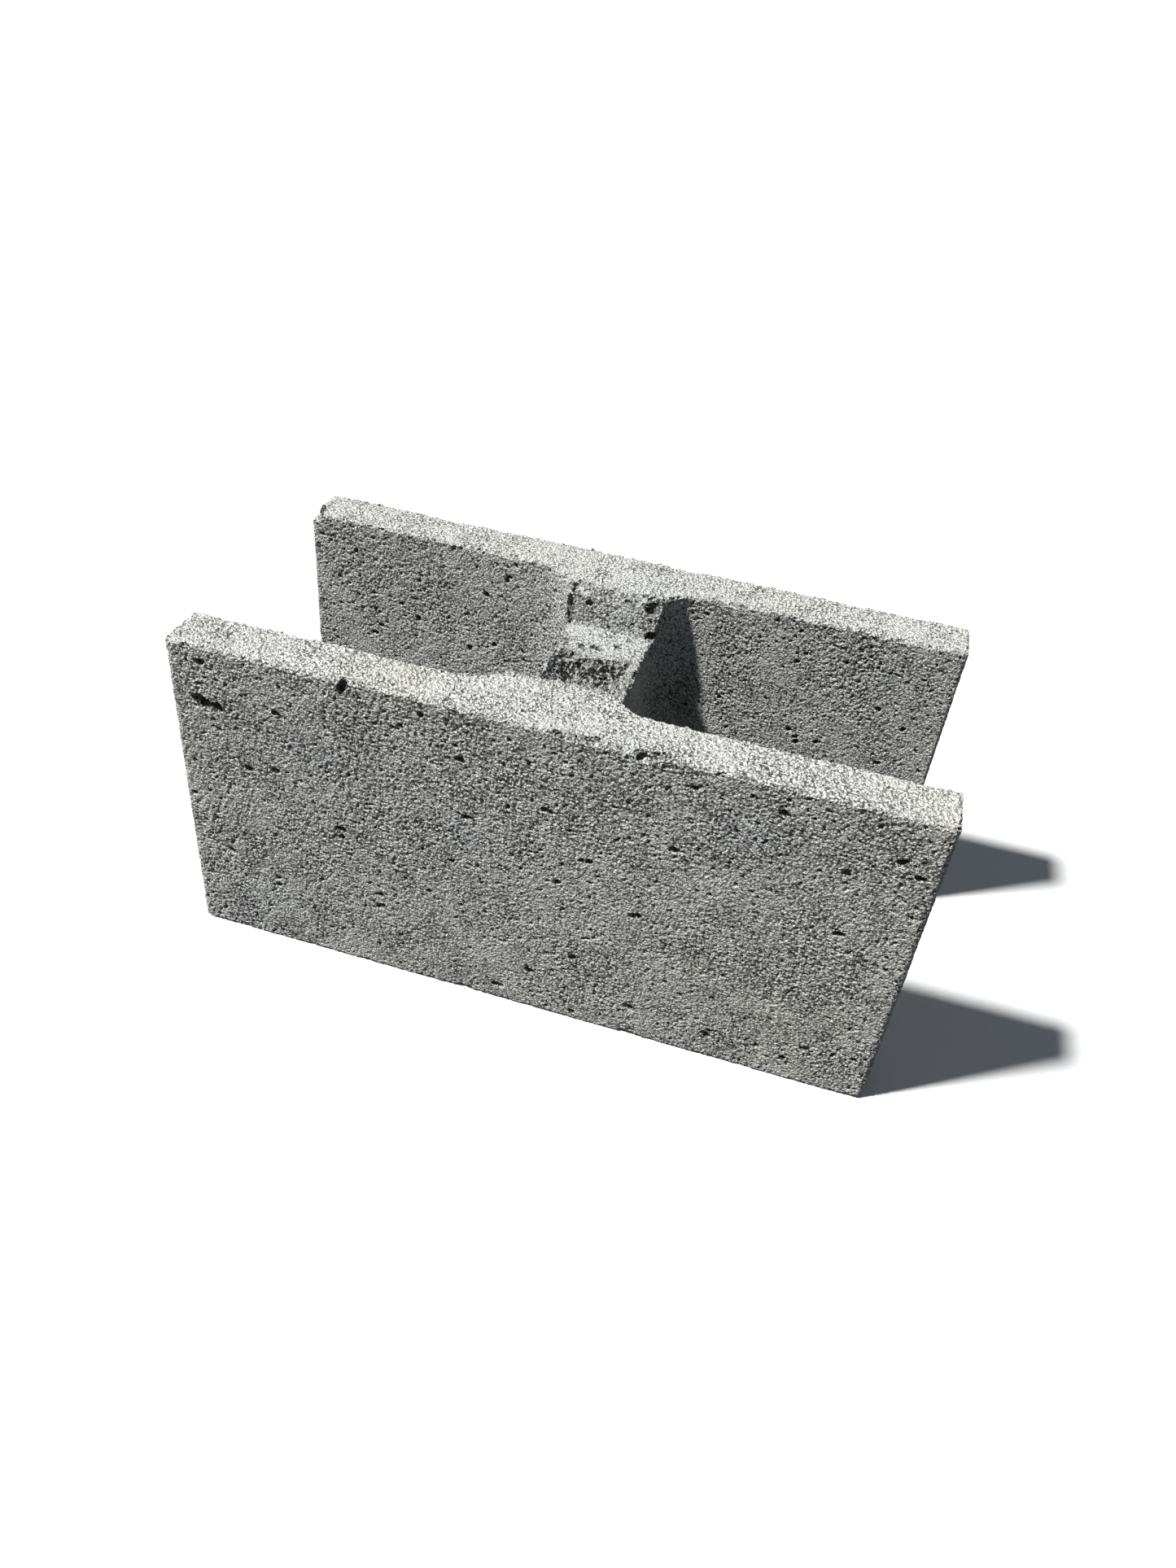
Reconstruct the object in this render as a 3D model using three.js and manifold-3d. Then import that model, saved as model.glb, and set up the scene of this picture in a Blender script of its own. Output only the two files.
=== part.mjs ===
// Open-end concrete masonry block, standard 8 x 8 x 16 inch modular size.
// H-shaped in plan: two long face shells joined by one cross web, so both cells are open at the
// block's ends as well as at the top and the bottom. The web's top is notched in two steps for
// horizontal reinforcement: a cast step with a clean ledge, then a rough hollow knocked out of it.
// Millimetres, +Z up, origin at the centre of the base, +X along the block, -Y is the front face.

import {
  BufferGeometry,
  BoxGeometry,
  ExtrudeGeometry,
  Float32BufferAttribute,
  Group,
  IcosahedronGeometry,
  Matrix4,
  Mesh,
  MeshStandardMaterial,
  Shape,
  Vector2,
  Vector3,
} from 'three';
import { mergeVertices } from 'three/addons/utils/BufferGeometryUtils.js';
import Module from 'manifold-3d';

const wasm = await Module();
wasm.setup();

// --- Driving dimensions -------------------------------------------------------------------------

const LENGTH = 396.9; // 15 5/8 in
const WIDTH = 193.7; // 7 5/8 in
const HEIGHT = 193.7; // 7 5/8 in
const SHELL = 31.8; // face shell thickness at the top, 1 1/4 in
const WEB = 51; // cross web thickness at the top
const WEB_FILLET_LEFT = 30; // plan radius where the web's left face flares into each shell
const WEB_FILLET_RIGHT = 24;
const CORE_DRAFT = 1.5; // how much each cell face leans outwards from top to bottom
const ARRIS = 2.2; // rounding of the top and bottom edges
const OUTER_CORNER = 5; // plan rounding of the shells' four outer corners
const INNER_CORNER = 3.5; // plan rounding of the shells' inner end corners

// Notch in the web's top, from the shell side inwards. Depths are below the block's top.
const ROOT_DEPTH = 44.5; // from an outer face to the notch's top edge, where shell and web meet
const SHOULDER_RUN = 5;
const SHOULDER_DROP = 7;
const WALL_RUN = 1;
const LEDGE_DROP = 24;
const LEDGE_RUN = 27;
const TROUGH_RUN = 7;
const TROUGH_DROP = 40;
const RIM = 2; // left standing between the trough's mouth and each face of the web
const RIM_RUN = 12; // how far the trough narrows under each rim, from its mouth to its floor
const NOTCH_ROUNDING = 2.5;

// Broken surface inside the trough.
const BREAK_CELL = 4.5; // size of one broken facet
const BREAK_DEPTH = 2.4; // how far the facets stray from the plane surface
const CHIP_RAGGEDNESS = 0.16; // as a share of a chip's half size
const BREAK_SEED = 3;

const ARC_STEP = 12; // degrees of an outline's arc for each of its sides
const NOTCH_ARC_STEP = 20;
const BEVEL_STEPS = 3;
const CHIP_DETAIL = 2; // how many times a chip's twenty-sided ball is subdivided
const WELD = 1e-4; // points closer than this are one
const SCATTER_GRID = 8; // points that round to the same eighth of a unit stray together

const SHELL_COLOR = 0xb4b4ae;
const WEB_COLOR = 0xb0b0aa;
const ROUGHNESS = 0.92;

// --- Derived levels -----------------------------------------------------------------------------

const HALF_LENGTH = LENGTH / 2;
const HALF_WIDTH = WIDTH / 2;
const SHELL_FACE_Y = HALF_WIDTH - SHELL; // inner face of a shell, at the top
const WEB_FACE_X = WEB / 2;
const JOINT_Y = HALF_WIDTH - ROOT_DEPTH; // plane in which a shell meets the web
const FACE_MARGIN = 1; // tells an outer face's points from a cell's
const CLEAR = 10; // how far cutters reach past what they cut

// --- Outlines -----------------------------------------------------------------------------------

// Rounds each corner [x, y, radius] of a closed outline with an arc tangent to both its sides.
function roundedOutline(corners, degreesPerStep = ARC_STEP) {
  const points = [];
  corners.forEach(([x, y, radius], i) => {
    const corner = new Vector2(x, y);
    if (!radius) {
      points.push(corner);
      return;
    }
    const before = corners.at(i - 1);
    const after = corners[(i + 1) % corners.length];
    const back = new Vector2(before[0] - x, before[1] - y).normalize();
    const ahead = new Vector2(after[0] - x, after[1] - y).normalize();
    const halfAngle = Math.acos(back.dot(ahead)) / 2;
    const start = corner.clone().addScaledVector(back, radius / Math.tan(halfAngle));
    const towardsCentre = back.clone().add(ahead).normalize();
    const centre = corner.clone().addScaledVector(towardsCentre, radius / Math.sin(halfAngle));
    const sweep = (Math.PI - 2 * halfAngle) * Math.sign(back.cross(ahead)) * -1;
    const steps = Math.max(2, Math.ceil(Math.abs(sweep) / (degreesPerStep * Math.PI / 180)));
    for (let step = 0; step <= steps; step += 1) {
      points.push(start.clone().rotateAround(centre, (sweep * step) / steps));
    }
  });
  return points;
}

function blockOutline() {
  const half = (side, fillet) => [
    [side * HALF_LENGTH, -HALF_WIDTH, OUTER_CORNER],
    [side * HALF_LENGTH, -SHELL_FACE_Y, INNER_CORNER],
    [side * WEB_FACE_X, -SHELL_FACE_Y, fillet],
    [side * WEB_FACE_X, SHELL_FACE_Y, fillet],
    [side * HALF_LENGTH, SHELL_FACE_Y, INNER_CORNER],
    [side * HALF_LENGTH, HALF_WIDTH, OUTER_CORNER],
  ];
  return roundedOutline([...half(1, WEB_FILLET_RIGHT), ...half(-1, WEB_FILLET_LEFT).reverse()]);
}

// Half of the notch's profile as [y, z, radius], from the rear shell down to the ledge's edge.
function notchHalfProfile() {
  const shoulderY = JOINT_Y - SHOULDER_RUN;
  const wallFootY = shoulderY - WALL_RUN;
  return [
    [JOINT_Y, HEIGHT + CLEAR, 0],
    [JOINT_Y, HEIGHT, NOTCH_ROUNDING],
    [shoulderY, HEIGHT - SHOULDER_DROP, NOTCH_ROUNDING],
    [wallFootY, HEIGHT - LEDGE_DROP, NOTCH_ROUNDING],
  ];
}

// --- Solids -------------------------------------------------------------------------------------

function solidFrom(geometry) {
  const bare = geometry.index ? geometry.toNonIndexed() : geometry.clone();
  for (const name of Object.keys(bare.attributes)) {
    if (name !== 'position') bare.deleteAttribute(name);
  }
  const merged = mergeVertices(bare, WELD);
  return new wasm.Manifold(new wasm.Mesh({
    numProp: 3,
    vertProperties: new Float32Array(merged.attributes.position.array),
    triVerts: new Uint32Array(merged.index.array),
  }));
}

function boxSolid(low, high) {
  const size = new Vector3().subVectors(high, low);
  const centre = new Vector3().addVectors(low, high).multiplyScalar(0.5);
  return solidFrom(new BoxGeometry(...size).translate(...centre));
}

// Leans every cell face outwards below the top, as the mould's tapered cores leave it.
function leanCellFaces(geometry) {
  const position = geometry.attributes.position;
  const cornerX = HALF_LENGTH - INNER_CORNER - FACE_MARGIN;
  for (let i = 0; i < position.count; i += 1) {
    const x = position.getX(i);
    const y = position.getY(i);
    if (Math.abs(y) > SHELL_FACE_Y + INNER_CORNER + FACE_MARGIN) continue;
    const lean = CORE_DRAFT * (1 - position.getZ(i) / HEIGHT);
    position.setY(i, y + Math.sign(y) * lean);
    if (Math.abs(x) < cornerX) position.setX(i, x - Math.sign(x) * lean);
  }
  return geometry;
}

function castBlock() {
  const geometry = new ExtrudeGeometry(new Shape(blockOutline()), {
    depth: HEIGHT - 2 * ARRIS,
    bevelEnabled: true,
    bevelThickness: ARRIS,
    bevelSize: ARRIS,
    bevelOffset: -ARRIS,
    bevelSegments: BEVEL_STEPS,
  });
  return solidFrom(leanCellFaces(geometry.translate(0, 0, ARRIS)));
}

function notchSolid() {
  const half = notchHalfProfile();
  const mirrored = half.map(([y, z, radius]) => [-y, z, radius]).reverse();
  const profile = roundedOutline([...half, ...mirrored], NOTCH_ARC_STEP);
  const reach = WEB_FACE_X + Math.max(WEB_FILLET_LEFT, WEB_FILLET_RIGHT) + CLEAR;
  const geometry = new ExtrudeGeometry(new Shape(profile), { depth: 2 * reach, bevelEnabled: false });
  const alongWeb = new Matrix4().makeBasis(
    new Vector3(0, 1, 0),
    new Vector3(0, 0, 1),
    new Vector3(1, 0, 0),
  );
  return solidFrom(geometry.applyMatrix4(alongWeb).translate(-reach, 0, 0));
}

// A repeatable value from -1 to 1 for each place, with no pattern from one place to the next.
function scatter(x, y, z, seed) {
  const wave = Math.sin(x * 12.9898 + y * 78.233 + z * 37.719 + seed * 4.581) * 43758.5453;
  return 2 * (wave - Math.floor(wave)) - 1;
}

function roughen(geometry, depth, seed) {
  const position = geometry.attributes.position;
  for (let i = 0; i < position.count; i += 1) {
    const point = [position.getX(i), position.getY(i), position.getZ(i)];
    const place = point.map((value) => Math.round(value * SCATTER_GRID));
    const strayed = point.map((value, axis) => value + depth * scatter(...place, seed + axis));
    position.setXYZ(i, ...strayed);
  }
  return geometry;
}

// The knocked-out trough between the two ledges, open upwards and narrower at its floor than at its
// mouth on all four sides.
function troughSolid() {
  const mouthX = WEB_FACE_X - RIM;
  const mouthY = JOINT_Y - SHOULDER_RUN - WALL_RUN - LEDGE_RUN;
  const floorZ = HEIGHT - TROUGH_DROP;
  const depth = TROUGH_DROP - LEDGE_DROP + CLEAR;
  const size = [2 * mouthX, 2 * mouthY, depth];
  const facets = size.map((extent) => Math.round(extent / BREAK_CELL));
  const geometry = new BoxGeometry(...size, ...facets).translate(0, 0, floorZ + depth / 2);
  const position = geometry.attributes.position;
  for (let i = 0; i < position.count; i += 1) {
    const below = 1 - Math.min(1, (position.getZ(i) - floorZ) / (TROUGH_DROP - LEDGE_DROP));
    position.setX(i, position.getX(i) * (1 - (below * RIM_RUN) / mouthX));
    position.setY(i, position.getY(i) * (1 - (below * TROUGH_RUN) / mouthY));
  }
  return solidFrom(roughen(geometry, BREAK_DEPTH, BREAK_SEED));
}

// A ragged hollow, wherever a lump of aggregate has come away.
function chipSolid({ at, size, seed }) {
  const ball = roughen(new IcosahedronGeometry(1, CHIP_DETAIL), CHIP_RAGGEDNESS, seed);
  return solidFrom(ball.scale(...size.map((extent) => extent / 2)).translate(...at));
}

// --- Broken spots, measured from the block's own faces ------------------------------------------

const FRONT_Y = -HALF_WIDTH;
const CHIPS = [
  // long hollow high on the front face, near its left end
  { at: [-177, FRONT_Y, 158.5], size: [15, 8, 5.5], seed: 11 },
  // hollow under the front face's top edge
  { at: [-101, FRONT_Y + 1, HEIGHT - 4], size: [5, 6, 6], seed: 12 },
  // worn stretch of the front face's top edge, beside the web
  { at: [40, FRONT_Y, HEIGHT + 0.5], size: [62, 9, 7], seed: 13 },
  // step broken out of the rear shell's left top corner
  { at: [-HALF_LENGTH, SHELL_FACE_Y + 4, HEIGHT - 1], size: [12, 16, 9], seed: 14 },
  // deep hollow at the right end of the notch's rear shoulder
  { at: [WEB_FACE_X - 2.5, JOINT_Y - 4.5, HEIGHT - 6], size: [13, 9, 8], seed: 15 },
  // groove down the left end of the notch's rear wall, and a hollow at the ledge's left corner
  { at: [-WEB_FACE_X - 1, JOINT_Y - 5, HEIGHT - 17], size: [5, 7, 15], seed: 16 },
  { at: [-WEB_FACE_X + 1, JOINT_Y - 26, HEIGHT - LEDGE_DROP], size: [8, 9, 7], seed: 17 },
  // nicks in the front face's bottom edge
  { at: [-33, FRONT_Y, 0.5], size: [10, 6, 5], seed: 18 },
  { at: [64, FRONT_Y, 0.5], size: [12, 6, 4], seed: 19 },
];

// --- Parts --------------------------------------------------------------------------------------

function between(lowY, highY) {
  return boxSolid(
    new Vector3(-LENGTH, lowY, -CLEAR),
    new Vector3(LENGTH, highY, HEIGHT + CLEAR),
  );
}

function meshFrom(solid, name, color) {
  const { vertProperties, triVerts } = solid.getMesh();
  const geometry = new BufferGeometry();
  geometry.setAttribute('position', new Float32BufferAttribute(vertProperties, 3));
  geometry.setIndex([...triVerts]);
  geometry.computeVertexNormals();
  const material = new MeshStandardMaterial({ color, roughness: ROUGHNESS, metalness: 0 });
  const mesh = new Mesh(geometry, material);
  mesh.name = name;
  return mesh;
}

function buildBlock() {
  const hollows = [notchSolid(), troughSolid(), ...CHIPS.map(chipSolid)];
  const casting = hollows.reduce((solid, hollow) => solid.subtract(hollow), castBlock());
  const block = new Group();
  block.add(
    meshFrom(casting.intersect(between(-WIDTH, -JOINT_Y)), 'front_face_shell', SHELL_COLOR),
    meshFrom(casting.intersect(between(JOINT_Y, WIDTH)), 'rear_face_shell', SHELL_COLOR),
    meshFrom(casting.intersect(between(-JOINT_Y, JOINT_Y)), 'cross_web', WEB_COLOR),
  );
  return block;
}

export default buildBlock();
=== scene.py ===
import math

import bpy
import numpy as np
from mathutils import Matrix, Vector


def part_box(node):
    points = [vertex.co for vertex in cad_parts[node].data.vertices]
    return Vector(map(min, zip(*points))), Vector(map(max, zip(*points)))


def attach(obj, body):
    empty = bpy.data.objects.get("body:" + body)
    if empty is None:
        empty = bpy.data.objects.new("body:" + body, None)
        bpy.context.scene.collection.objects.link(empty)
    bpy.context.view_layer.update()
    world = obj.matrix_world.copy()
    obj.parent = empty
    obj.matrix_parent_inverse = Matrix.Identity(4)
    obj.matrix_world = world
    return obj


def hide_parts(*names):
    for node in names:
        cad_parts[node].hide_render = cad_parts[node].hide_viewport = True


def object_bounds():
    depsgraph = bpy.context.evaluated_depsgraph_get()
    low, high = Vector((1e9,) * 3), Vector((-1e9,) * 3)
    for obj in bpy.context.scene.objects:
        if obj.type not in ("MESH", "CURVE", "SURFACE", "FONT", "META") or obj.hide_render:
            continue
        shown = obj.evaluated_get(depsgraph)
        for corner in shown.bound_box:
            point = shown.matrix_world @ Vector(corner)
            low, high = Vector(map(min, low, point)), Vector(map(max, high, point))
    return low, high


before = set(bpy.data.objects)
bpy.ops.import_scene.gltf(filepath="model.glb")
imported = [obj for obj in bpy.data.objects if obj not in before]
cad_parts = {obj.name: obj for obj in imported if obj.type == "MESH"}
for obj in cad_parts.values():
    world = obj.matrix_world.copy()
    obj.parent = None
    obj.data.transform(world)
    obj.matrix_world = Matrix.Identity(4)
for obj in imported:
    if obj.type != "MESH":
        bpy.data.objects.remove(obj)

import openvdb
from mathutils import Euler, Vector

# A hollow open-end concrete masonry block, open-pored and a little worn, on a pale floor.
# Its cast shape is a field of distances on a grid, chipped and broken as the real one is, and
# meshed where the distance is zero. The mesh is then weathered: its points move inwards by grain,
# drag marks and open pores, and it is parted into the CAD's pieces a little outside their joint planes,
# where the surface is whole.
# Lengths are millimetres until a mesh is made. +X is along the block, -Y its front, +Z up.

MM = 0.001

# --- Driving dimensions, from the frame and as in the CAD -----------------------------------------

cad_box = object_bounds()
LENGTH, WIDTH, HEIGHT = (cad_box[1] - cad_box[0]) / MM
HALF_LENGTH, HALF_WIDTH = LENGTH / 2, WIDTH / 2
JOINT_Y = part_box("cross_web")[1].y / MM  # the plane where a face shell meets the web

SHELL = 31.8
WEB = 51.0
WEB_FILLETS = {-1: 30.0, 1: 24.0}  # plan radius where the web flares into the shells, left and right
CORE_DRAFT = 1.5
ARRIS = 1.6
OUTER_CORNER = 4.5
INNER_CORNER = 3.0

SHOULDER_RUN, SHOULDER_DROP = 5.0, 7.0
WALL_RUN, LEDGE_DROP = 1.0, 24.0
LEDGE_RUN = 27.0
TROUGH_RUN, TROUGH_DROP = 7.0, 40.0
RIM, RIM_RUN = 2.0, 12.0
MOUTH_BULGE = 4.0  # how far the middle of each ledge stands out over the hollow

STEP_ROUNDING = 1.2
RIM_ROUNDING = 0.6
HOLLOW_CORNER, HOLLOW_FOOT = 5, 3  # rounding of the broken hollow, in plan and where it meets its floor

SHELL_FACE_Y = HALF_WIDTH - SHELL
SHOULDER_Y = JOINT_Y - SHOULDER_RUN
WALL_FOOT_Y = SHOULDER_Y - WALL_RUN
TROUGH_MOUTH_Y = WALL_FOOT_Y - LEDGE_RUN
TROUGH_FLOOR_Y = TROUGH_MOUTH_Y - TROUGH_RUN
SHOULDER_Z = HEIGHT - SHOULDER_DROP
LEDGE_Z = HEIGHT - LEDGE_DROP
TROUGH_FLOOR_Z = HEIGHT - TROUGH_DROP

VOXEL = 0.6  # the grid's pitch
SKIN = 0.15  # how far the smooth surface starts inside the CAD box
SEAM_SETBACK = 4.5  # how far outside each joint plane the pieces meet, clear of the broken notch
BAND = 4 * VOXEL  # distances past this are cut off, because the surface is nowhere near
EDGE_ZONE = 9.0  # how near both walls of an edge a point lies to be shaped by it
MARGIN = 4 * VOXEL  # room round the block inside the grid
LEAST_WEAR = 0.3

# --- Repeatable noise -----------------------------------------------------------------------------

LATTICE_SIDE = 96
LATTICE = np.random.default_rng(20).random((4, LATTICE_SIDE**3), dtype=np.float32)
SEED_HOPS = (17, 31, 47)  # how far the lattice shifts along each axis from one seed to the next
JITTER = 0.7  # how far a grain may lie from the middle of its cell, as a share of the cell


def in_cells(points, size, offset=0.0):
    """The points measured in cells, as one array for each axis, and the cells that they are in."""
    scaled = [points[..., i] / np.float32(np.broadcast_to(size, 3)[i]) for i in range(3)]
    return scaled, [np.floor(v - np.float32(offset)).astype(np.int32) for v in scaled]


def place_in_lattice(cell, step, seed):
    """Where the lattice keeps the random numbers of the cell that is step away from this one."""
    x, y, z = ((c + (s + seed * hop)) % LATTICE_SIDE for c, s, hop in zip(cell, step, SEED_HOPS))
    return (x * LATTICE_SIDE + y) * LATTICE_SIDE + z


def smooth_noise(points, size, seed):
    """Smooth noise from 0 to 1, its features about size across. size may be one number or three."""
    scaled, cell = in_cells(points, size)
    t = [v - c.astype(np.float32) for v, c in zip(scaled, cell)]
    t = [v * v * (3 - 2 * v) for v in t]
    total = np.zeros(points.shape[:-1], dtype=np.float32)
    for step in np.ndindex(2, 2, 2):
        wx, wy, wz = (v if s else 1 - v for v, s in zip(t, step))
        total += wx * wy * wz * LATTICE[3][place_in_lattice(cell, step, seed)]
    return total


def rough_noise(points, size, seed, octaves=3):
    """Noise from about 0 to 1 with finer and fainter noise on top of it."""
    total, weight = 0, 0
    for octave in range(octaves):
        share = 0.5**octave
        total = total + share * smooth_noise(points, np.asarray(size) * share, seed + octave)
        weight += share
    return total / weight


def grains(points, size, seed):
    """For packed grains about size across: how far each point is from its grain's middle, in
    sizes, and a random number of that grain's own."""
    scaled, cell = in_cells(points, size, offset=0.5)
    local = [v - c.astype(np.float32) for v, c in zip(scaled, cell)]
    nearest = np.full(points.shape[:-1], 9, dtype=np.float32)
    own = np.zeros_like(nearest)
    for step in np.ndindex(2, 2, 2):
        place = place_in_lattice(cell, step, seed)
        away = sum(
            (s + (1 - JITTER) / 2 + JITTER * LATTICE[i][place] - v) ** 2
            for i, (s, v) in enumerate(zip(step, local))
        )
        closer = away < nearest
        nearest = np.where(closer, away, nearest)
        own = np.where(closer, LATTICE[3][place], own)
    return np.sqrt(nearest), own


def bent(points, size, amount, seed):
    """The points moved about by smooth noise, so that what is built from them is less regular."""
    shift = np.stack([smooth_noise(points, size, seed + i) for i in range(3)], axis=-1)
    return points + np.float32(amount) * (shift - 0.5)


def ramp(values, start, end):
    """0 before start and 1 after end, with a smooth rise between them."""
    t = np.clip((values - start) / (end - start), 0, 1)
    return t * t * (3 - 2 * t)


# --- The cast shape as a field of distances, negative inside ---------------------------------------


def rounded_edge(a, b, radius):
    """The distance to a body bounded by two walls, with the edge between them rounded."""
    beyond = np.hypot(np.maximum(a + radius, 0), np.maximum(b + radius, 0))
    return beyond + np.minimum(np.maximum(a + radius, b + radius), 0) - radius


def grid_axes():
    """Coordinates along each axis of a grid that holds the block with room to spare."""
    low = np.array([-HALF_LENGTH, -HALF_WIDTH, 0]) - MARGIN
    high = np.array([HALF_LENGTH, HALF_WIDTH, HEIGHT]) + MARGIN
    counts = np.ceil((high - low) / VOXEL).astype(int) + 1
    return [(low[i] + VOXEL * np.arange(counts[i])).astype(np.float32) for i in range(3)]


def cast_block(x, y, z):
    """Two face shells and a web with their upright edges rounded, thinner at the top by the draft."""
    outlines = []
    for lean in (CORE_DRAFT, 0.0):
        outline = rounded_edge(np.abs(x) - HALF_LENGTH, np.abs(y) - HALF_WIDTH, OUTER_CORNER)
        for side, fillet in WEB_FILLETS.items():
            past_web = WEB / 2 - lean - side * x
            past_shell = np.abs(y) - SHELL_FACE_Y - lean
            cell = rounded_edge(past_web, past_shell, fillet)
            outline = rounded_edge(outline, -cell, INNER_CORNER)
        outlines.append(outline)
    bottom, top = outlines
    plan = bottom + (top - bottom) * (z / HEIGHT)
    ends = np.abs(z - HEIGHT / 2) - HEIGHT / 2
    return plan, ends


def worn_edges(plan, ends, x, y, z):
    """Joins the outline to the two ends, and cuts the edges back unevenly, most along the top."""
    block = np.maximum(plan, ends)
    near = np.nonzero((np.abs(plan) < EDGE_ZONE) & (np.abs(ends) < EDGE_ZONE))
    points = np.stack([x[near[0], 0, 0], y[0, near[1], 0], z[0, 0, near[2]]], axis=-1)
    plan, ends = plan[near], ends[0, 0, near[2]]
    lump, own = grains(points, 2.6, 6)
    wear = 0.2 + 4.5 * np.maximum(rough_noise(points, 17, 1) - 0.45, 0) + 1.3 * rough_noise(points, 5, 4)
    wear = wear + 1.0 * lump + 1.3 * (own - 0.4)
    wear = np.maximum(np.where(points[:, 2] > HEIGHT / 2, wear, 0.6 * wear), LEAST_WEAR)
    block[near] = np.maximum(rounded_edge(plan, ends, ARRIS), (plan + ends + wear) / math.sqrt(2))
    return block


def window(axes, low, high):
    """Slices of the grid that hold a box, and the points in it."""
    slices = tuple(slice(*np.searchsorted(a, (low[i], high[i]))) for i, a in enumerate(axes))
    points = np.stack(np.meshgrid(*(a[s] for a, s in zip(axes, slices)), indexing="ij"), axis=-1)
    return slices, points


def cut_notch(block, axes):
    """The two-step notch in the web: a cast step, then a rough hollow knocked out between two rims."""
    reach = WEB / 2 + 12
    here, p = window(axes, (-reach, -JOINT_Y - 2, TROUGH_FLOOR_Z - 12), (reach, JOINT_Y + 2, HEIGHT + 9))
    across, height = np.abs(p[..., 1]), p[..., 2]
    uneven = rough_noise(p, 14, 7) - 0.5
    wall = np.interp(height, (LEDGE_Z, SHOULDER_Z, HEIGHT), (WALL_FOOT_Y, SHOULDER_Y, JOINT_Y + 0.8))
    lump, own = grains(p, 3.0, 11)
    crumbling = ramp(height, SHOULDER_Z - 1, SHOULDER_Z + 2)
    crumb = crumbling * (2.0 * (0.6 - lump) + 2.0 * (own - 0.5))
    step = rounded_edge(across - wall - 0.5 * uneven + crumb, LEDGE_Z + 1.2 * uneven - height, STEP_ROUNDING)
    small_lump, small_own = grains(p, 1.9, 14)
    lump, own = grains(p + 2 * uneven[..., None], 2.9, 13)
    broken = 2.6 * (0.55 - lump) + 2.0 * (own - 0.5) + 1.3 * (0.5 - small_lump) + 1.0 * (small_own - 0.5)
    levels = (TROUGH_FLOOR_Z, LEDGE_Z)
    mouth_y = np.interp(height, levels, (TROUGH_FLOOR_Y, TROUGH_MOUTH_Y - 1))
    mouth_y = mouth_y - MOUTH_BULGE * (1 - (p[..., 0] / (WEB / 2)) ** 2)
    mouth_x = np.interp(height, levels, (WEB / 2 - RIM - RIM_RUN, WEB / 2 - RIM))
    past_ledge = across - mouth_y - 4 * uneven
    past_rim = np.abs(p[..., 0]) - mouth_x - 4 * uneven
    walls = rounded_edge(past_ledge, past_rim, HOLLOW_CORNER)
    trough = rounded_edge(walls, TROUGH_FLOOR_Z + 6 * uneven - height, HOLLOW_FOOT) + broken
    trough = np.where(height > LEDGE_Z + 3, np.maximum(trough, across - TROUGH_MOUTH_Y), trough)
    lump, own = grains(p, 2.8, 16)
    wear = 0.3 + 5.0 * np.maximum(rough_noise(p, 11, 17) - 0.42, 0) + 1.6 * (lump - 0.3) + 1.6 * (own - 0.3)
    outer = block[here]
    worn = (outer - step + np.maximum(wear, LEAST_WEAR)) / math.sqrt(2)
    notched = np.maximum(np.maximum(outer, -step), worn)
    block[here] = rounded_edge(notched, -trough, RIM_ROUNDING)


def knock_out(block, axes, at, size, seed):
    """A ragged hollow, where a lump of aggregate has come away or none was."""
    at, half = np.array(at, dtype=np.float32), np.array(size, dtype=np.float32) / 2
    here, p = window(axes, at - half - 4, at + half + 4)
    reach = half.min()
    away = (np.linalg.norm((bent(p, 2 + reach, reach, seed) - at) / half, axis=-1) - 1) * reach
    lump, own = grains(p, 1.8, seed)
    lumps = min(0.3 * reach, 0.9) * (lump - own)
    block[here] = np.maximum(block[here], lumps - away)


def knock_out_chain(block, axes, at, draw, seed):
    """A crack-like pore: a few small pits that run together across the front face."""
    lean = draw.uniform(-0.5, 0.5)
    for number in range(3):
        along = draw.uniform(-2.2, 2.2)
        spot = (at[0] + along, FRONT_Y, at[1] + lean * along + draw.uniform(-0.5, 0.5))
        size = (draw.uniform(1.8, 3.8), draw.uniform(3.5, 6), draw.uniform(1.3, 2.4))
        knock_out(block, axes, spot, size, seed + number)


# --- Broken spots and large pores, placed from the block's own faces --------------------------------

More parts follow.
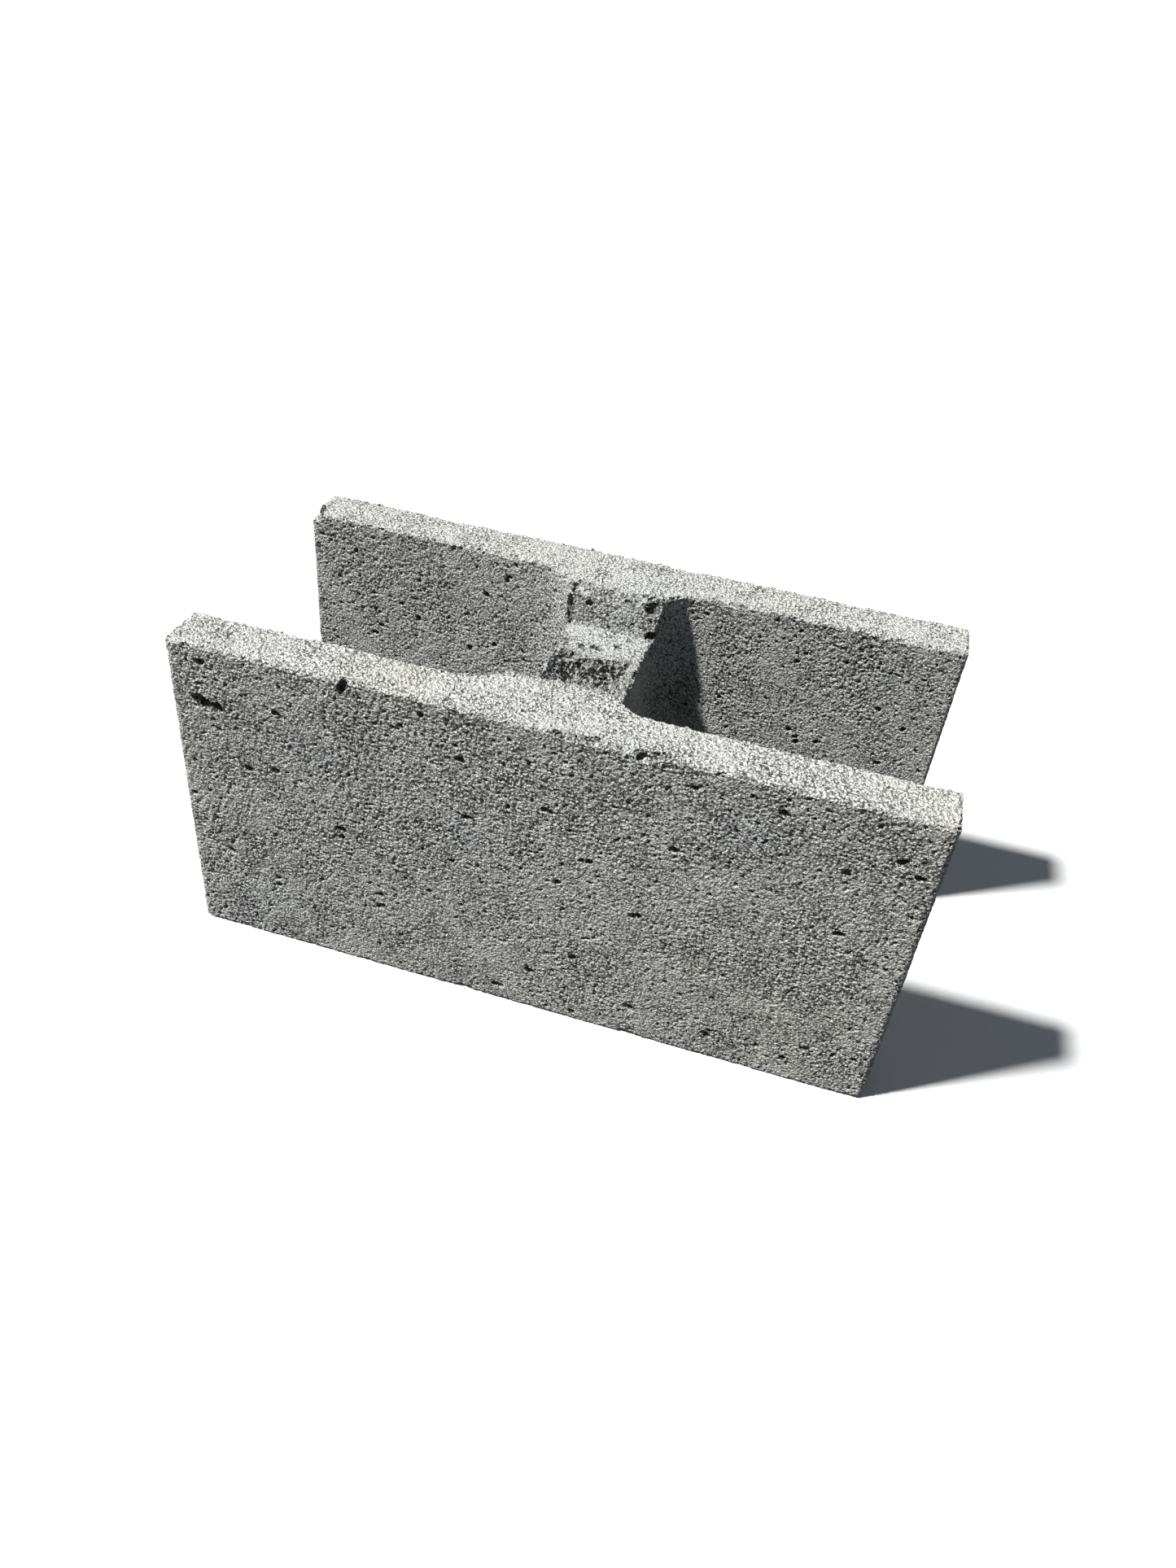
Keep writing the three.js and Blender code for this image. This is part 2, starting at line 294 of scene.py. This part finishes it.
FRONT_Y = -HALF_WIDTH
WORN_SPOTS = (  # middle and size of the bites out of the edges
    ((26, FRONT_Y, HEIGHT), (40, 8, 7)),
    ((57, FRONT_Y, HEIGHT), (24, 8, 8)),
    ((-HALF_LENGTH, SHELL_FACE_Y + 4, HEIGHT - 1), (12, 16, 9)),
    ((-HALF_LENGTH - 1, FRONT_Y - 1, HEIGHT + 1), (12, 12, 10)),
    ((-33, FRONT_Y, 0.5), (10, 6, 5)),
    ((64, FRONT_Y, 0.5), (12, 6, 4)),
    ((HALF_LENGTH, FRONT_Y, 90), (5, 6, 7)),
    ((WEB / 2, 2, LEDGE_Z), (7, 24, 8)),
)
HOLLOWS = (  # middle and size of the deep holes, painted with shade inside
    # long one high on the front face, near its left end, and one under the face's top edge
    ((-182, FRONT_Y, 161), (7, 7, 5)),
    ((-177.5, FRONT_Y, 158.5), (9, 10, 5)),
    ((-172.5, FRONT_Y, 157.5), (8, 9, 5)),
    ((-101, FRONT_Y + 1, HEIGHT - 4.5), (4, 7, 7)),
    ((51, FRONT_Y, HEIGHT - 3.5), (3.5, 7, 3)),
    # deep one at the right end of the notch's rear shoulder, and a groove at the wall's left end
    ((WEB / 2 - 2.5, JOINT_Y - 4.5, HEIGHT - 6), (13, 9, 8)),
    ((-WEB / 2 - 1.2, JOINT_Y - 5, HEIGHT - 17), (4.5, 7, 16)),
    ((-14.8, JOINT_Y - 5, HEIGHT - 10.5), (4, 5, 3.5)),
    # at the ledge's left corner, small ones along the ledge, and a pit at its right end
    ((-WEB / 2 + 2, JOINT_Y - 26, LEDGE_Z), (7, 7, 8)),
    ((-WEB / 2 + 6, JOINT_Y - 29, LEDGE_Z), (5, 4, 4)),
    ((-11, JOINT_Y - 28, LEDGE_Z), (4, 3, 3)),
    ((-2.9, JOINT_Y - 26.5, LEDGE_Z), (6.5, 5, 5)),
    ((8.5, JOINT_Y - 20, LEDGE_Z), (6.5, 4, 5)),
    ((WEB / 2 - 2.5, JOINT_Y - 5, LEDGE_Z + 1), (5.5, 6, 4)),
)
FRONT_PORES = (  # x and z of the largest pores in the front face
    *((-178, 184), (-158, 123), (-140, 126), (-138, 163), (-106, 97), (-84, 48), (-58, 185), (-38, 163)),
    *((-33, 128), (-12, 11), (5, 30), (7, 145), (17, 100), (30, 119), (30, 48), (60, 91), (64, 22)),
    *((74, 141), (108, 18), (122, 178), (154, 153), (160, 114), (160, 28), (177, 167), (188, 160)),
)


def seam_planes(axes):
    """Where the shells meet the web, as planes of Y that rows of the mesh's points lie in."""
    rows = axes[1] + VOXEL / 2
    return [rows[np.argmin(np.abs(rows - side * (JOINT_Y + SEAM_SETBACK)))] for side in (-1, 1)]


def block_surface(axes):
    """The cast, chipped and broken block: its points, its four-sided faces, and how deep in a
    hollow each point lies."""
    x, y, z = axes[0][:, None, None], axes[1][None, :, None], axes[2][None, None, :]
    plan, ends = cast_block(x, y, z)
    block = worn_edges(plan, ends, x, y, z)
    cut_notch(block, axes)
    for number, (at, size) in enumerate(WORN_SPOTS):
        knock_out(block, axes, at, size, seed=30 + number)
    whole = block.copy()
    for number, (at, size) in enumerate(HOLLOWS):
        knock_out(block, axes, at, size, seed=40 + number)
    draw = np.random.default_rng(5)
    for number, at in enumerate(FRONT_PORES):
        knock_out_chain(block, axes, at, draw, seed=200 + 3 * number)
    grid = openvdb.FloatGrid(BAND)
    grid.copyFromArray(np.clip(block + SKIN, -BAND, BAND))
    points, quads = grid.convertToQuads(0.0)
    kept = joined_to_most(points, quads)
    quads = (np.cumsum(kept) - 1)[quads[kept[quads[:, 0]]]]
    points = points[kept]
    nearest = np.rint(points).astype(int)
    depth = np.maximum(-whole[tuple(nearest.T)], 0)
    points = np.stack([axes[i][0] + VOXEL * points[:, i] for i in range(3)], axis=-1)
    return points.astype(np.float32), quads, depth


def joined_to_most(points, quads):
    """Which points belong to the largest body, so that loose crumbs and closed voids can be left out."""
    label = np.arange(len(points))
    while True:
        lowest = np.repeat(label[quads].min(axis=1), 4)
        lower = label.copy()
        np.minimum.at(lower, quads.ravel(), lowest)
        np.minimum.at(lower, label[quads].ravel(), lowest)
        while not np.array_equal(lower[lower], lower):
            lower = lower[lower]
        if np.array_equal(lower, label):
            return label == np.argmax(np.bincount(label))
        label = lower


def point_normals(points, quads):
    """Unit normals at the points, from the faces round each."""
    corner = points[quads]
    face = np.cross(corner[:, 2] - corner[:, 0], corner[:, 3] - corner[:, 1])
    total = np.stack(
        [
            sum(np.bincount(quads[:, c], face[:, axis], len(points)) for c in range(4))
            for axis in range(3)
        ],
        axis=-1,
    )
    return total / np.maximum(np.linalg.norm(total, axis=1, keepdims=True), 1e-9)


# --- Weathering: how far each point sinks below the cast surface ------------------------------------

LEVEL = 0.5  # the crevice attribute's value where a point lies level with what is around it
DRAG_FOCUS = (0, 600)  # x and z that the outer faces' drag marks run towards
DRAG_SPREAD = 500  # turns the angle round that focus into a width


def sand_face(points):
    """Grain of a face that slid along the mould: sand packed level, with open gaps between grains."""
    away, own = grains(bent(points, 2.0, 0.9, 51), 1.6, 52)
    fine = smooth_noise(points, 1.1, 53)
    waves = rough_noise(points, 38, 54)
    openness = 0.4 + 1.0 * ramp(rough_noise(points, 24, 55), 0.3, 0.7)
    gap_sink_and_painted_gap_shade = openness * ramp(away, 0.25, 0.8) * own
    return 0.4 * waves + 0.75 * gap_sink_and_painted_gap_shade + 0.15 * own + 0.4 * fine


def drag_marks(points):
    """Faint furrows from the mould, upright in the middle and fanning out slightly to the sides."""
    x, z = points[:, 0] - DRAG_FOCUS[0], points[:, 2] - DRAG_FOCUS[1]
    reach = np.hypot(x, z)
    fanned = np.stack([np.arctan2(x, -z) * DRAG_SPREAD, np.sign(points[:, 1]) * 40, reach], axis=-1)
    furrow = smooth_noise(fanned, (1.8, 20, 9), 61)
    patchy = ramp(rough_noise(points, 45, 62), 0.35, 0.7)
    outer = ramp(np.abs(points[:, 1]), HALF_WIDTH - 6, HALF_WIDTH - 3)
    return 0.35 * outer * patchy * ramp(furrow, 0.45, 0.9)


def open_pores(points, size, share, seed):
    """Pits about size across, where air was trapped. share is how much of the surface has them."""
    away, own = grains(points, np.array((2.2, 2.2, 1.7)) * size, seed)
    crowded = share * (0.2 + 1.6 * rough_noise(points, 26, seed + 2))
    radius = np.where(own < crowded, 0.24 + 0.16 * (own * 61 % 1), 0)
    return ramp(radius - away, 0, 0.1)


def pebbled_top(points):
    """Coarse open grain of the tops, which no mould face smoothed."""
    waves = rough_noise(points, 14, 71)
    away, own = grains(bent(points, 3.0, 1.2, 72), 2.3, 73)
    fine = smooth_noise(points, 1.2, 74)
    pits = open_pores(bent(points, 1.6, 1.6, 75), 1.8, 0.3, 76)
    return 0.8 * waves + 1.1 * away**2 + 0.5 * own + 0.35 * fine + 0.9 * pits


def crumbled(points):
    """Bare, broken aggregate."""
    away, own = grains(points, 1.8, 81)
    return 0.6 * away + 0.6 * own + 0.5 * smooth_noise(points, 1.1, 82)


def roughness_regions(points, normals):
    """How pebbled and how broken each point is, from 0 to 1."""
    x, y, z = points.T
    up = ramp(normals[:, 2], 0.35, 0.8)
    over_web = (np.abs(x) < WEB / 2 + 8) & (np.abs(y) < JOINT_Y + 3)
    ledge = over_web & (np.abs(y) > TROUGH_MOUTH_Y) & (np.abs(y) < WALL_FOOT_Y + 2)
    in_trough = (np.abs(x) < WEB / 2 - 0.6) & (np.abs(y) < TROUGH_MOUTH_Y + 1) & (z > TROUGH_FLOOR_Z - 5)
    shoulder = (np.abs(y) > SHOULDER_Y - 3) & (z > SHOULDER_Z - 4)
    broken = over_web & (in_trough | shoulder)
    pebbled = up * np.where(ledge, 0.7, 1.0) * np.where(broken, 0, 1)
    return pebbled.astype(np.float32), broken.astype(np.float32)


def crevices(points, quads, normals):
    """How far each point lies below what is around it, in millimetres."""
    shares = np.bincount(quads.ravel(), minlength=len(points))[:, None]
    around = points
    for _ in range(3):
        middles = around[quads].mean(axis=1)
        sums = [
            sum(np.bincount(quads[:, c], middles[:, axis], len(points)) for c in range(4))
            for axis in range(3)
        ]
        around = np.stack(sums, axis=-1) / shares
    return ((around - points) * normals).sum(axis=1)


def weather(points, quads, depth):
    """Moves the points inwards, and returns them with what the concrete's colour depends on, among it the
    masks of its painted shade and painted light.
    """
    normals = point_normals(points, quads).astype(np.float32)
    pebbled, broken = roughness_regions(points, normals)
    face = np.clip(1 - pebbled - broken, 0, 1)
    sink = np.zeros(len(points), dtype=np.float32)
    pores = np.zeros_like(sink)
    on_face = face > 0
    p = points[on_face]
    uneven = bent(p, 1.8, 2.0, 88)
    holes = 1.3 * open_pores(uneven, 1.5, 0.3, 91) + 2.2 * open_pores(uneven, 2.6, 0.06, 95)
    sink[on_face] += face[on_face] * (sand_face(p) + drag_marks(p) + holes)
    pores[on_face] = face[on_face] * holes / 2.2
    for share, texture in ((pebbled, pebbled_top), (broken, crumbled)):
        there = share > 0
        sink[there] += share[there] * texture(points[there])
    moved = points - normals * sink[:, None]
    # painted shade: the pores and the deep knocked-out hollows are darkened, more the deeper a point lies
    painted_hollow_shade = np.maximum(0.8 * np.clip(pores, 0, 1), 0.6 * ramp(depth, 0.6, 3.0))
    room = np.array([HALF_LENGTH, HALF_WIDTH, HEIGHT / 2], dtype=np.float32) - SKIN
    middle = np.array([0, 0, HEIGHT / 2], dtype=np.float32)
    moved = middle + np.clip(moved - middle, -room, room)
    # painted shade and highlight: crevice says how far each point lies below what is around it, and the
    # shader darkens crevices and brightens raised grains with it
    crevice = LEVEL + crevices(moved, quads, normals)
    # pale marks the up-facing tops, which the shader keeps lighter than the sides as painted light
    return moved, {"crevice": crevice, "painted_hollow_shade": painted_hollow_shade, "pale": pebbled}


# --- Meshes -----------------------------------------------------------------------------------------


def new_object(name, points, quads, caps, attributes):
    """A mesh object from points in millimetres, quads, and caps: loops of points closed by one face."""
    corners = np.concatenate([quads.ravel(), *caps])
    sizes = [4] * len(quads) + [len(cap) for cap in caps]
    starts = np.concatenate([[0], np.cumsum(sizes)[:-1]])
    mesh = bpy.data.meshes.new(name)
    mesh.vertices.add(len(points))
    mesh.vertices.foreach_set("co", (points * MM).astype(np.float32).ravel())
    mesh.loops.add(len(corners))
    mesh.loops.foreach_set("vertex_index", corners.astype(np.int32))
    mesh.polygons.add(len(sizes))
    mesh.polygons.foreach_set("loop_start", starts.astype(np.int32))
    mesh.update(calc_edges=True)
    for attribute, values in attributes.items():
        mesh.attributes.new(attribute, "FLOAT", "POINT").data.foreach_set("value", values)
    mesh.polygons.foreach_set("use_smooth", np.arange(len(sizes)) < len(quads))
    obj = bpy.data.objects.new(name, mesh)
    bpy.context.scene.collection.objects.link(obj)
    return obj


def open_loops(quads):
    """The loops of points along a mesh's open edges, turned so that a face on one closes it."""
    start, end = quads.ravel(), np.roll(quads, -1, axis=1).ravel()
    span = int(quads.max()) + 1
    lone = np.flatnonzero(~np.isin(start * span + end, end * span + start))
    following = dict(zip(end[lone].tolist(), start[lone].tolist()))
    loops = []
    while following:
        at, loop = next(iter(following)), []
        while at in following:
            loop.append(at)
            at = following.pop(at)
        loops.append(np.array(loop))
    return loops


def part_at_joints(points, quads, seams, attributes):
    """The block's mesh as three closed pieces that meet at the two seams, which are planes of Y."""
    place = np.digitize(points[quads, 1].mean(axis=1), seams)
    for side, seam in enumerate(seams):
        shared = np.intersect1d(quads[place == side], quads[place == side + 1])
        points[shared, 1] = seam
    pieces = []
    for number, node in enumerate(("front_face_shell", "cross_web", "rear_face_shell")):
        used, own_quads = np.unique(quads[place == number], return_inverse=True)
        own_quads = own_quads.reshape(-1, 4)
        own = {name: values[used] for name, values in attributes.items()}
        piece = new_object(f"{node}_concrete", points[used], own_quads, open_loops(own_quads), own)
        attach(piece, "root")
        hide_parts(node)
        pieces.append(piece)
    return pieces


# --- Materials --------------------------------------------------------------------------------------


class Nodes:
    """Adds nodes to a material's tree and links them, with a number, a colour or a socket as input."""

    def __init__(self, material):
        material.use_nodes = True
        self.tree = material.node_tree

    def add(self, kind, inputs=(), **settings):
        node = self.tree.nodes.new(kind)
        for key, value in settings.items():
            setattr(node, key, value)
        for key, value in dict(inputs).items():
            self.set(node, key, value)
        return node

    def set(self, node, key, value):
        if isinstance(value, bpy.types.NodeSocket):
            self.tree.links.new(value, node.inputs[key])
        else:
            node.inputs[key].default_value = value

    def noise(self, vector, scale, detail=3.0, roughness=0.55):
        inputs = {"Vector": vector, "Scale": scale, "Detail": detail, "Roughness": roughness}
        return self.add("ShaderNodeTexNoise", inputs).outputs["Fac"]

    def ramp(self, factor, *stops):
        node = self.add("ShaderNodeValToRGB", {"Fac": factor})
        elements = node.color_ramp.elements
        while len(elements) < len(stops):
            elements.new(1)
        for element, (position, colour) in zip(elements, stops):
            element.position = position
            element.color = (*colour, 1) if len(colour) == 3 else colour
        return node.outputs["Color"]

    def mix(self, factor, a, b, blend="MIX"):
        node = self.add("ShaderNodeMix", data_type="RGBA", blend_type=blend)
        self.set(node, "Factor", factor)
        for key, value in ((6, a), (7, b)):
            self.set(node, key, (*value, 1) if isinstance(value, tuple) else value)
        return node.outputs[2]

    def math(self, operation, a, b=0.0, clamp=False):
        return self.add("ShaderNodeMath", {0: a, 1: b}, operation=operation, use_clamp=clamp).outputs[0]


GRIT_HEIGHT = 1.0 * MM  # of the finest grain, which the mesh doesn't hold


def grey(value):
    return (value, value, value)


def concrete(name, tone):
    """Bare grey block concrete: sand in cement paste, faintly stained, with painted shade in its
    crevices, hollows, pores and between its grains, a faint painted highlight on raised grains, and
    its sides painted darker than its up-facing tops as painted light."""
    material = bpy.data.materials.new(name)
    n = Nodes(material)
    place = n.add("ShaderNodeTexCoord").outputs["Object"]
    crevice = n.add("ShaderNodeAttribute", attribute_name="crevice").outputs["Fac"]
    # pale carries painted light: the up-facing tops stay lighter than the sides
    pale = n.add("ShaderNodeAttribute", attribute_name="pale").outputs["Fac"]
    painted_hollow_shade = n.add("ShaderNodeAttribute", attribute_name="painted_hollow_shade").outputs["Fac"]

    paste = n.ramp(n.noise(place, 9, 5), (0.35, (0.95, 0.96, 0.98)), (0.65, (1.0, 0.985, 0.95)))
    cloudy = n.ramp(n.noise(place, 26, 4), (0.3, grey(0.95)), (0.7, grey(1.04)))
    sand = n.add("ShaderNodeTexVoronoi", {"Vector": place, "Scale": 760})
    away = sand.outputs["Distance"]
    speck_stops = ((0.12, grey(0.85)), (0.3, grey(0.98)), (0.8, grey(1.02)), (0.95, grey(1.15)))
    speck = n.ramp(sand.outputs["Color"], *speck_stops)
    # painted shade: dark lines between the sand grains, where the surface is open
    openness = n.ramp(n.noise(place, 60, 3), (0.35, grey(0.2)), (0.65, grey(1.0)))
    painted_shade_between_grains = n.mix(openness, grey(1.0), n.ramp(away, (0.5, grey(1.0)), (0.66, grey(0.2))))
    grit = n.noise(place, 900, 2, 0.6)
    # painted shade: the finest gaps of the grit are painted dark
    gap_sink_and_painted_gap_shade = n.ramp(grit, (0.36, grey(0.25)), (0.44, grey(1.0)), (0.68, grey(1.04)))
    colour = n.mix(1.0, tone, paste, "MULTIPLY")
    # painted light: the sides are painted darker than the up-facing tops
    painted_light_on_tops = n.ramp(pale, (0.0, grey(0.85)), (1.0, grey(1.0)))
    for shade in (cloudy, painted_light_on_tops, speck, painted_shade_between_grains, gap_sink_and_painted_gap_shade):
        colour = n.mix(1.0, colour, shade, "MULTIPLY")
    # painted shade in crevices, and a faint painted highlight on raised grains
    painted_crevice_shade_and_highlight = n.ramp(crevice, (0.3, grey(1.06)), (0.5, grey(1.0)), (0.8, grey(0.4)))
    colour = n.mix(1.0, colour, painted_crevice_shade_and_highlight, "MULTIPLY")
    # painted shade: the pores and deep hollows are painted near-black
    colour = n.mix(painted_hollow_shade, colour, (0.07, 0.07, 0.068), "MULTIPLY")

    rise = n.ramp(grit, (0.3, grey(0)), (0.7, grey(1)))
    relief = n.math("SUBTRACT", n.math("MULTIPLY", rise, 0.7), n.math("MULTIPLY", away, away))
    bump = n.add("ShaderNodeBump", {"Strength": 1.0, "Distance": GRIT_HEIGHT, "Height": relief})
    rough = n.ramp(n.noise(place, 60, 3), (0.3, grey(0.86)), (0.7, grey(0.97)))
    shader = n.tree.nodes["Principled BSDF"]
    n.set(shader, "Base Color", colour)
    n.set(shader, "Roughness", rough)
    n.set(shader, "Normal", bump.outputs["Normal"])
    n.set(shader, "Specular IOR Level", 0.3)
    return material


# --- Stage ------------------------------------------------------------------------------------------


FLOOR_REACH = 30.0  # metres
FLOOR_COLOUR = (0.72, 0.72, 0.71, 1)
SUN_TRAVEL = (0.50, 0.29, -0.82)
SUN_STRENGTH, SUN_SPREAD = 5.9, 4  # the spread is in degrees
CAMERA_PLACE = (0.1172, -0.5222, 0.5037)
CAMERA_TURN = (52.17, -5.15, 15.97)  # degrees
SENSOR, FOCAL_LENGTH = 36, 26.29


def pale_floor():
    ends = (-FLOOR_REACH, FLOOR_REACH)
    corners = [(ends[i], ends[j], cad_box[0].z) for i, j in ((0, 0), (1, 0), (1, 1), (0, 1))]
    mesh = bpy.data.meshes.new("floor")
    mesh.from_pydata(corners, [], [(0, 1, 2, 3)])
    floor = bpy.data.objects.new("floor", mesh)
    bpy.context.scene.collection.objects.link(floor)
    material = bpy.data.materials.new("pale_floor")
    n = Nodes(material)
    n.set(n.tree.nodes["Principled BSDF"], "Base Color", FLOOR_COLOUR)
    n.set(n.tree.nodes["Principled BSDF"], "Roughness", 0.9)
    mesh.materials.append(material)
    floor.visible_diffuse = False


def studio_light():
    """One soft key from the front left, high up, and a dim pale surround."""
    key = bpy.data.lights.new("key", "SUN")
    key.energy = SUN_STRENGTH
    key.angle = math.radians(SUN_SPREAD)
    lamp = bpy.data.objects.new("key", key)
    lamp.rotation_euler = Vector(SUN_TRAVEL).to_track_quat("-Z", "Y").to_euler()
    bpy.context.scene.collection.objects.link(lamp)
    world = bpy.data.worlds.new("surround")
    bpy.context.scene.world = world
    n = Nodes(world)
    direction = n.add("ShaderNodeTexCoord").outputs["Generated"]
    height = n.add("ShaderNodeSeparateXYZ", {0: direction}).outputs["Z"]
    sky = n.ramp(height, (0.0, (0.07, 0.075, 0.08)), (0.01, grey(0.7)), (0.12, (0.115, 0.13, 0.15)))
    n.set(n.tree.nodes["Background"], "Color", sky)


def photo_camera():
    data = bpy.data.cameras.new("camera")
    data.sensor_width = SENSOR
    data.lens = FOCAL_LENGTH
    camera = bpy.data.objects.new("camera", data)
    camera.location = CAMERA_PLACE
    camera.rotation_euler = Euler(map(math.radians, CAMERA_TURN))
    bpy.context.scene.collection.objects.link(camera)
    bpy.context.scene.camera = camera


# --- Scene ------------------------------------------------------------------------------------------


def build():
    axes = grid_axes()
    points, quads, depth = block_surface(axes)
    points, attributes = weather(points, quads, depth)
    shell_concrete = concrete("shell_concrete", (0.77, 0.77, 0.725))
    web_concrete = concrete("web_concrete", (0.765, 0.765, 0.72))
    for piece in part_at_joints(points, quads, seam_planes(axes), attributes):
        is_web = piece.name.startswith("cross_web")
        piece.data.materials.append(web_concrete if is_web else shell_concrete)


build()
pale_floor()
studio_light()
photo_camera()
bpy.context.scene.view_settings.view_transform = "Standard"
